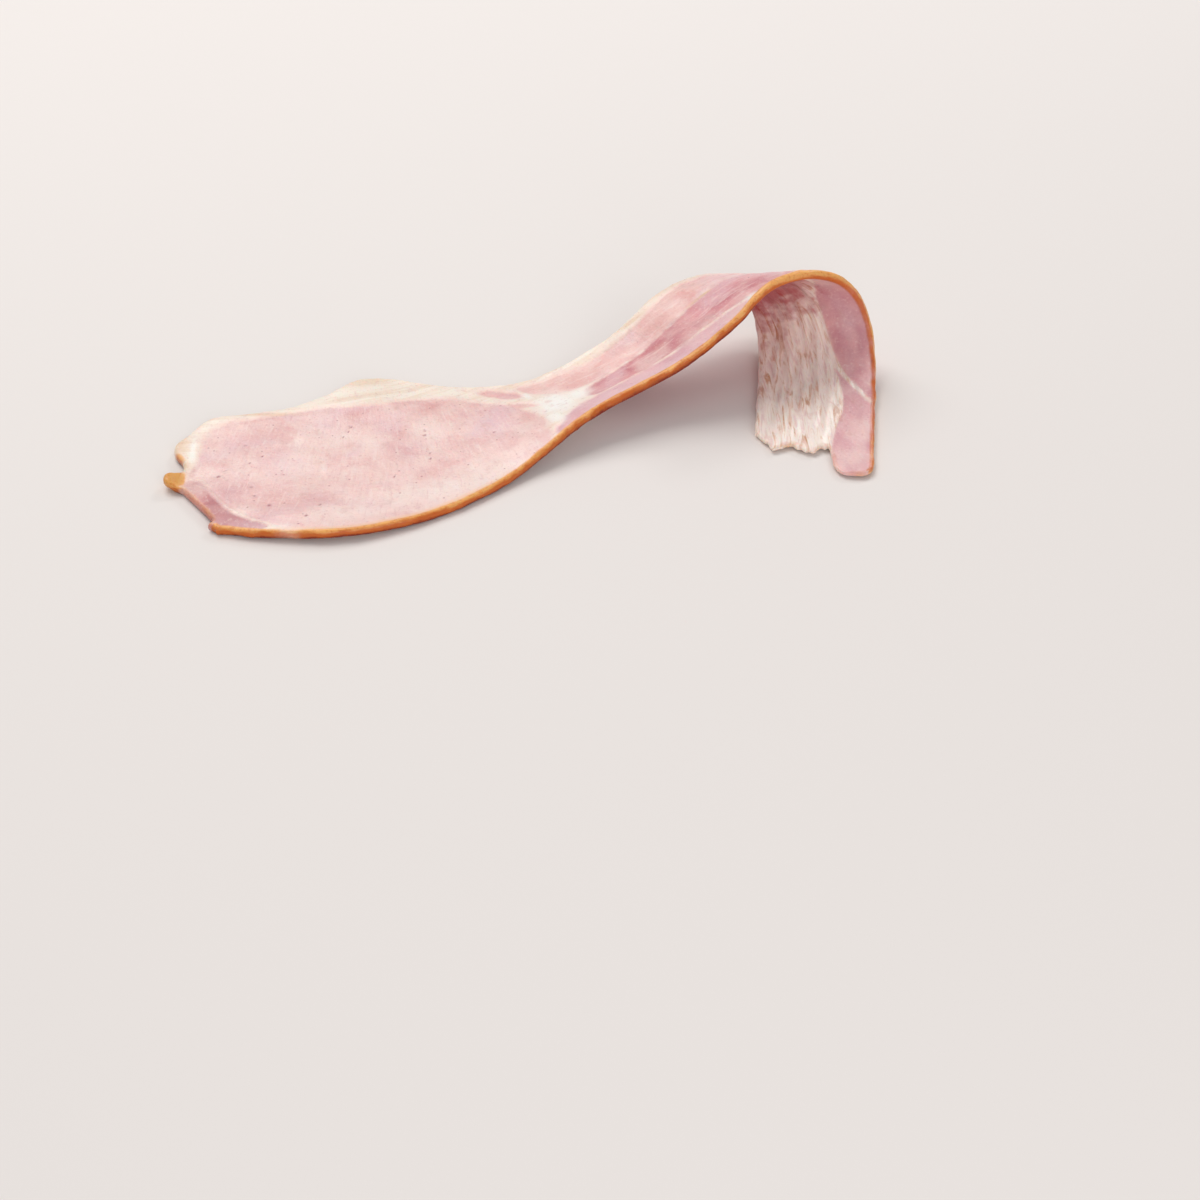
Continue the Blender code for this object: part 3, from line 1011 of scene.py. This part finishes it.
@dataclass
class Rasher:
    """The rasher: one slice, cut, given its relief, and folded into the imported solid's place."""

    cut: Slice = field(default_factory=Slice)
    fold: Fold = field(default_factory=Fold)
    smoke: Smoke = field(default_factory=Smoke)
    tail: Tail = field(default_factory=Tail)
    cells_along: int = 430
    cells_across: int = 92
    rim_steps: tuple[float, ...] = (0.0, 0.1, 0.32, 0.65, 1.05, 1.5, 2.1, 2.8)
    outline_step: float = 0.12
    on_outline: float = 0.07
    ripple: Waves = Waves(0.45, 9.0, 1.0, 3.0)
    rim_wall: float = 0.35
    fat_proud: float = 0.16
    proud_across: Fade = Fade(0.8, -1.6)
    seam_depth: float = 0.14
    seam_width: float = 0.8
    pore_depth: float = 0.35
    grain: Waves = Waves(0.045, 2.3, 2.3, 31.0)
    ridges: Waves = Waves(0.5, 22.0, 2.4, 21.0)
    sag: Waves = Waves(0.35, 17.0, 13.0, 41.0)
    crumple: Waves = Waves(0.9, 24.0, 6.0, 81.0)
    crumple_from_rim: Fade = Fade(-2.0, 5.0)
    thinning: float = 0.45
    thinning_to_end: Fade = Fade(-34.0, 24.0)
    tongue_curl: float = 1.6
    lumps: Waves = Waves(0.5, 6.5, 6.0, 51.0)
    small_lumps: Waves = Waves(0.22, 1.7, 1.4, 57.0)
    lump_reach: float = 1.6
    swell: Hump = Hump(137.0, 13.0, 2.0)

    def build(self) -> bpy.types.Object:
        """Builds the folded rasher.

        Returns:
            The rasher's object, at the origin, in metres.
        """
        piece = self.blank()
        self.thicken(piece)
        u, v, side = self.read(piece)
        rim = self.rim(u, v)
        fields = {muscle.name: muscle.inside(u, v) for muscle in MUSCLES}
        fields["lean"] = np.max(np.stack(list(fields.values())), axis=0)
        tail_lean = np.maximum(fields["tail strip"], fields["tail lens"])
        fields["marble"] = self.tail.marbling(u, v, tail_lean)
        fields["pore"] = self.pores(u, v)
        moved_v, w = self.relief(u, v, side, rim, fields)
        fields.update(self.smoke.fields(self.cut, u, v, w, rim))
        # Painted shade: dark red on the lower face under the fold
        fields["inner"] = self.tail.inner(u, v, side)
        for tint in Tint:
            patches = [Patch(*values).share(u, v) for values in PATCHES[tint]]
            fields[tint.value] = np.max(np.stack(patches), axis=0)
        self.place(piece, self.fold.lay(self.cut, u, moved_v, w))
        for name, values in fields.items():
            self.store(piece, name, values)
        self.store_lay(piece, u, v, w)
        piece.select_set(True)
        bpy.context.view_layer.objects.active = piece
        bpy.ops.object.shade_smooth()
        return piece

    def blank(self) -> bpy.types.Object:
        """The flat slice as a grid of one layer, cut to its outline.

        Returns:
            The grid's object.
        """
        bpy.ops.object.select_all(action="DESELECT")
        bpy.ops.mesh.primitive_grid_add(
            x_subdivisions=self.cells_along, y_subdivisions=self.cells_across, size=MM
        )
        piece = bpy.context.object
        piece.name = "rasher_slice"
        piece.data.name = "rasher_slice"
        along = self.spread(self.cut.length, self.cells_along)
        smoked, fat = self.cut.half_widths(along)
        across = np.stack([self.spread(w, self.cells_across) for w in smoked + fat], axis=1) - smoked
        u = self.cut.trim(np.broadcast_to(along, across.shape), across)
        # The cuts move the points along, so each is put back at its share of the width there
        smoked_here, fat_here = self.cut.half_widths(u)
        share = (across + smoked) / (smoked + fat)
        v = -smoked_here + share * (smoked_here + fat_here)
        v = v + self.ripple.at(u[-1], 0.0 * u[-1]) * ease(share)
        points = np.zeros((u.size, 3))
        points[:, 0] = u.ravel() * MM
        points[:, 1] = v.ravel() * MM
        piece.data.vertices.foreach_set("co", points.astype(np.float32).ravel())
        piece.data.update()
        return piece

    def spread(self, width: float, cells: int) -> np.ndarray:
        """Places across a width, closer together at both rims.

        Args:
            width: The whole width, mm.
            cells: How many cells fill it.

        Returns:
            The places, from 0 to the width, mm.
        """
        steps = np.array(self.rim_steps)
        inner = np.linspace(steps[-1], width - steps[-1], cells + 3 - 2 * len(steps))
        return np.concatenate((steps[:-1], inner, width - steps[-2::-1]))

    def thicken(self, piece: bpy.types.Object) -> None:
        """Gives the slice its thickness, half to each side.

        Args:
            piece: The flat grid.
        """
        bpy.context.view_layer.objects.active = piece
        bpy.ops.object.modifier_add(type="SOLIDIFY")
        solidify = piece.modifiers[-1]
        solidify.thickness = self.cut.thickness * MM
        solidify.offset = 0.0
        bpy.ops.object.modifier_apply(modifier=solidify.name)

    @staticmethod
    def read(piece: bpy.types.Object) -> tuple[np.ndarray, np.ndarray, np.ndarray]:
        """Reads the flat slice's points back.

        Args:
            piece: The slice, still flat.

        Returns:
            Each point's distance along and across the slice, mm, and 1 on its upper face or -1 on its lower.
        """
        points = np.zeros(len(piece.data.vertices) * 3, np.float32)
        piece.data.vertices.foreach_get("co", points)
        u, v, w = points.reshape(-1, 3).astype(float).T / MM
        return u, v, np.where(w > 0.0, Side.UPPER.value, Side.LOWER.value)

    def rim(self, u: np.ndarray, v: np.ndarray) -> Rim:
        """Finds how each point lies to the slice's outline.

        Args:
            u: Distances along the slice, mm, of one face's grid of points and then the other's.
            v: Distances across it, mm.

        Returns:
            Each point's distance from the outline, and the outline's colour nearest to it.
        """
        shape = (self.cells_across + 1, self.cells_along + 1)
        grid = np.stack((u, v), axis=-1)[: shape[0] * shape[1]].reshape(*shape, 2)
        sides = (grid[0], grid[:, -1], grid[-1, ::-1], grid[::-1, 0])
        loop = np.concatenate([side[:-1] for side in sides] + [grid[:1, 0]])
        lengths = np.concatenate(([0.0], np.cumsum(np.hypot(*np.diff(loop, axis=0).T))))
        places = np.arange(0.0, lengths[-1], self.outline_step)
        edge_u = np.interp(places, lengths, loop[:, 0])
        edge_v = np.interp(places, lengths, loop[:, 1])
        tree = kdtree.KDTree(len(places))
        for i, (a, b) in enumerate(zip(edge_u, edge_v)):
            tree.insert((a, b, 0.0), i)
        tree.balance()
        found = [tree.find((a, b, 0.0)) for a, b in zip(u.tolist(), v.tolist())]
        nearest = np.array([i for _, i, _ in found])
        distance = np.array([d for _, _, d in found])
        distance = np.where(distance < self.on_outline, 0.0, distance)
        browned, peach = self.smoke.on_outline(self.cut, edge_u, edge_v)
        return Rim(distance, browned[nearest], peach[nearest])

    @staticmethod
    def fields_kept() -> list[str]:
        """The names of the fields that the piece keeps for its finish."""
        own = ["lean", "marble", "pore", "skin", "browned", "peach", "depth", "inner"]
        return [muscle.name for muscle in MUSCLES] + [tint.value for tint in Tint] + own

    @staticmethod
    def pores(u: np.ndarray, v: np.ndarray) -> np.ndarray:
        """How much each point is in one of the small pores.

        Args:
            u: Distances along the slice, mm.
            v: Distances across it, mm.

        Returns:
            1 in the middle of a pore, fading to 0 round it.
        """
        depth = np.zeros(u.shape)
        for along, across, radius in PORES:
            depth = np.maximum(depth, np.exp(-((u - along) ** 2 + (v - across) ** 2) / radius**2))
        return depth

    def relief(
        self, u: np.ndarray, v: np.ndarray, side: np.ndarray, rim: Rim, fields: dict[str, np.ndarray]
    ) -> tuple[np.ndarray, np.ndarray]:
        """The true surface: round rims, proud fat, sunken seams, marbling, lumps and a soft unevenness.

        Args:
            u: Each point's distance along the slice, mm.
            v: Its distance across the slice, mm.
            side: 1 on the upper face, -1 on the lower.
            rim: How the points lie to the outline.
            fields: The slice's fields of lean, marbling and pores.

        Returns:
            Each point's new place across the slice, and its height over the slice's middle, mm.
        """
        cut = self.cut
        half = 0.5 * cut.thickness
        into_rim = np.clip(1.0 - rim.distance / cut.rim_radius, 0.0, 1.0)
        height = half - (half - self.rim_wall) * (1.0 - np.sqrt(1.0 - into_rim**2))
        inside = ease(rim.distance / (2.0 * cut.rim_radius))
        proud = self.fat_proud * self.proud_across.at(fields["lean"])
        seam = self.seam_depth * np.exp(-(fields["lean"] / self.seam_width) ** 2)
        ridges = fields["marble"] * self.ridges.at(u, v)
        dents = self.pore_depth * fields["pore"]
        height = height + inside * (proud - seam + ridges + self.grain.at(u, v) - dents)
        height = height * (1.0 - self.thinning * self.thinning_to_end.at(u - cut.length))

        crumpled = fields["marble"] * self.crumple_from_rim.at(rim.distance)
        sag = inside * self.sag.at(u, v) + crumpled * self.crumple.at(u, v)
        on_tongue = ease((cut.end_setback - u) / cut.tongue_reach)
        on_tongue = on_tongue * (v > cut.tongue_from) * (v < cut.tongue_to)
        w = side * height + sag + self.tongue_curl * on_tongue

        lump = self.lumps.at(u, side * height) + self.small_lumps.at(u, side * height)
        lump = lump * (1.0 + self.swell.at(u))
        near_smoked = rim.browned * np.exp(-rim.distance / self.lump_reach) * (v < 0.0)
        return v - near_smoked * lump, w

    def place(self, piece: bpy.types.Object, points: np.ndarray) -> None:
        """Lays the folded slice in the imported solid's place, no lower than the table.

        Args:
            piece: The slice.
            points: Its points after the fold, one row each, mm.
        """
        low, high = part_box("rasher")
        middle = 0.5 * (points.min(axis=0) + points.max(axis=0))
        points = (points - middle) * MM
        points[:, 0] += 0.5 * (low.x + high.x)
        points[:, 1] += 0.5 * (low.y + high.y)
        points[:, 2] += middle[2] * MM
        points[:, 2] = np.maximum(points[:, 2], 0.0)
        piece.data.vertices.foreach_set("co", points.astype(np.float32).ravel())
        piece.data.update()

    @staticmethod
    def store(piece: bpy.types.Object, name: str, values: np.ndarray) -> None:
        """Keeps one field of numbers on the piece's points."""
        layer = piece.data.attributes.new(name, "FLOAT", "POINT")
        layer.data.foreach_set("value", values.astype(np.float32))

    @staticmethod
    def store_lay(piece: bpy.types.Object, u: np.ndarray, v: np.ndarray, w: np.ndarray) -> None:
        """Keeps each point's place in the flat slice, mm, for patterns that follow the slice."""
        layer = piece.data.attributes.new("lay", "FLOAT_VECTOR", "POINT")
        layer.data.foreach_set("vector", np.stack((u, v, w), axis=-1).astype(np.float32).ravel())


@dataclass(frozen=True)
class SoftBox:
    """A square soft box that faces the rasher: its place and side in metres, its power in watts."""

    name: str
    place: tuple[float, float, float]
    side: float
    power: float
    colour: str = "#FFFFFF"

    def hang(self) -> None:
        """Adds the light, turned towards the rasher."""
        bpy.ops.object.light_add(type="AREA", location=self.place)
        light = bpy.context.object
        light.name = self.name
        light.data.size = self.side
        light.data.energy = self.power
        light.data.color = linear(self.colour)[:3]
        light.rotation_euler = (-Vector(self.place)).to_track_quat("-Z", "Y").to_euler()


@dataclass(frozen=True)
class Studio:
    """A plain pale table top, soft light from above and behind, and the camera."""

    table_size: float = 6.0
    table_colour: str = "#E9E3E0"
    table_roughness: float = 0.75
    camera_place: tuple[float, float, float] = (0.02374, -0.6517, 0.4283)
    camera_down: float = 37.63
    camera_nearest: float = 0.01
    lens: float = 67.7
    sensor: float = 36.0
    boxes: tuple[SoftBox, ...] = (
        SoftBox("key", (-0.55, 0.75, 1.35), 1.1, 15.0, "#FFFDFA"),
        SoftBox("wet glints", (0.55, 0.95, 0.75), 0.25, 2.2),
        SoftBox("fill", (0.35, -1.1, 0.45), 0.8, 4.8),
    )
    sky_colour: str = "#FFFFFF"
    sky_strength: float = 0.44

    def build(self) -> None:
        """Adds the table, the camera and the lights."""
        self.add_table()
        self.add_camera()
        for box in self.boxes:
            box.hang()
        self.add_sky()

    def add_table(self) -> None:
        """Adds a plain table top at the height that the rasher lies on."""
        bpy.ops.object.select_all(action="DESELECT")
        bpy.ops.mesh.primitive_plane_add(size=self.table_size, location=(0.0, 0.0, 0.0))
        table = bpy.context.object
        table.name = "table_top"
        # Pale and matt, so that it only takes the shadow and gives no reflection
        material = bpy.data.materials.new("laminate table top, matt")
        material.use_nodes = True
        shader = material.node_tree.nodes["Principled BSDF"]
        shader.inputs["Base Color"].default_value = linear(self.table_colour)
        shader.inputs["Roughness"].default_value = self.table_roughness
        table.data.materials.append(material)

    def add_sky(self) -> None:
        """Adds even light from all round, and shows colours as they are."""
        world = bpy.data.worlds.new("studio")
        world.use_nodes = True
        background = world.node_tree.nodes["Background"]
        background.inputs["Color"].default_value = linear(self.sky_colour)
        background.inputs["Strength"].default_value = self.sky_strength
        bpy.context.scene.world = world
        bpy.context.scene.view_settings.view_transform = "Standard"

    def add_camera(self) -> None:
        """Adds the camera, level and looking along +Y and down."""
        tilt = math.radians(90.0 - self.camera_down)
        bpy.ops.object.camera_add(location=self.camera_place, rotation=(tilt, 0.0, 0.0))
        camera = bpy.context.object
        camera.data.lens = self.lens
        camera.data.sensor_width = self.sensor
        camera.data.clip_start = self.camera_nearest
        bpy.context.scene.camera = camera


def main() -> None:
    """Builds the rasher and its studio, and reports each piece."""
    logging.basicConfig(level=logging.INFO, format="%(message)s")
    rasher = Rasher().build()
    CuredPork().dress(rasher)
    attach(rasher, "root")
    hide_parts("rasher")
    LOG.info("rasher: %d faces", len(rasher.data.polygons))
    Studio().build()
    LOG.info("studio: table top, lights and camera")
    bpy.context.view_layer.update()


if __name__ == "__main__":
    main()
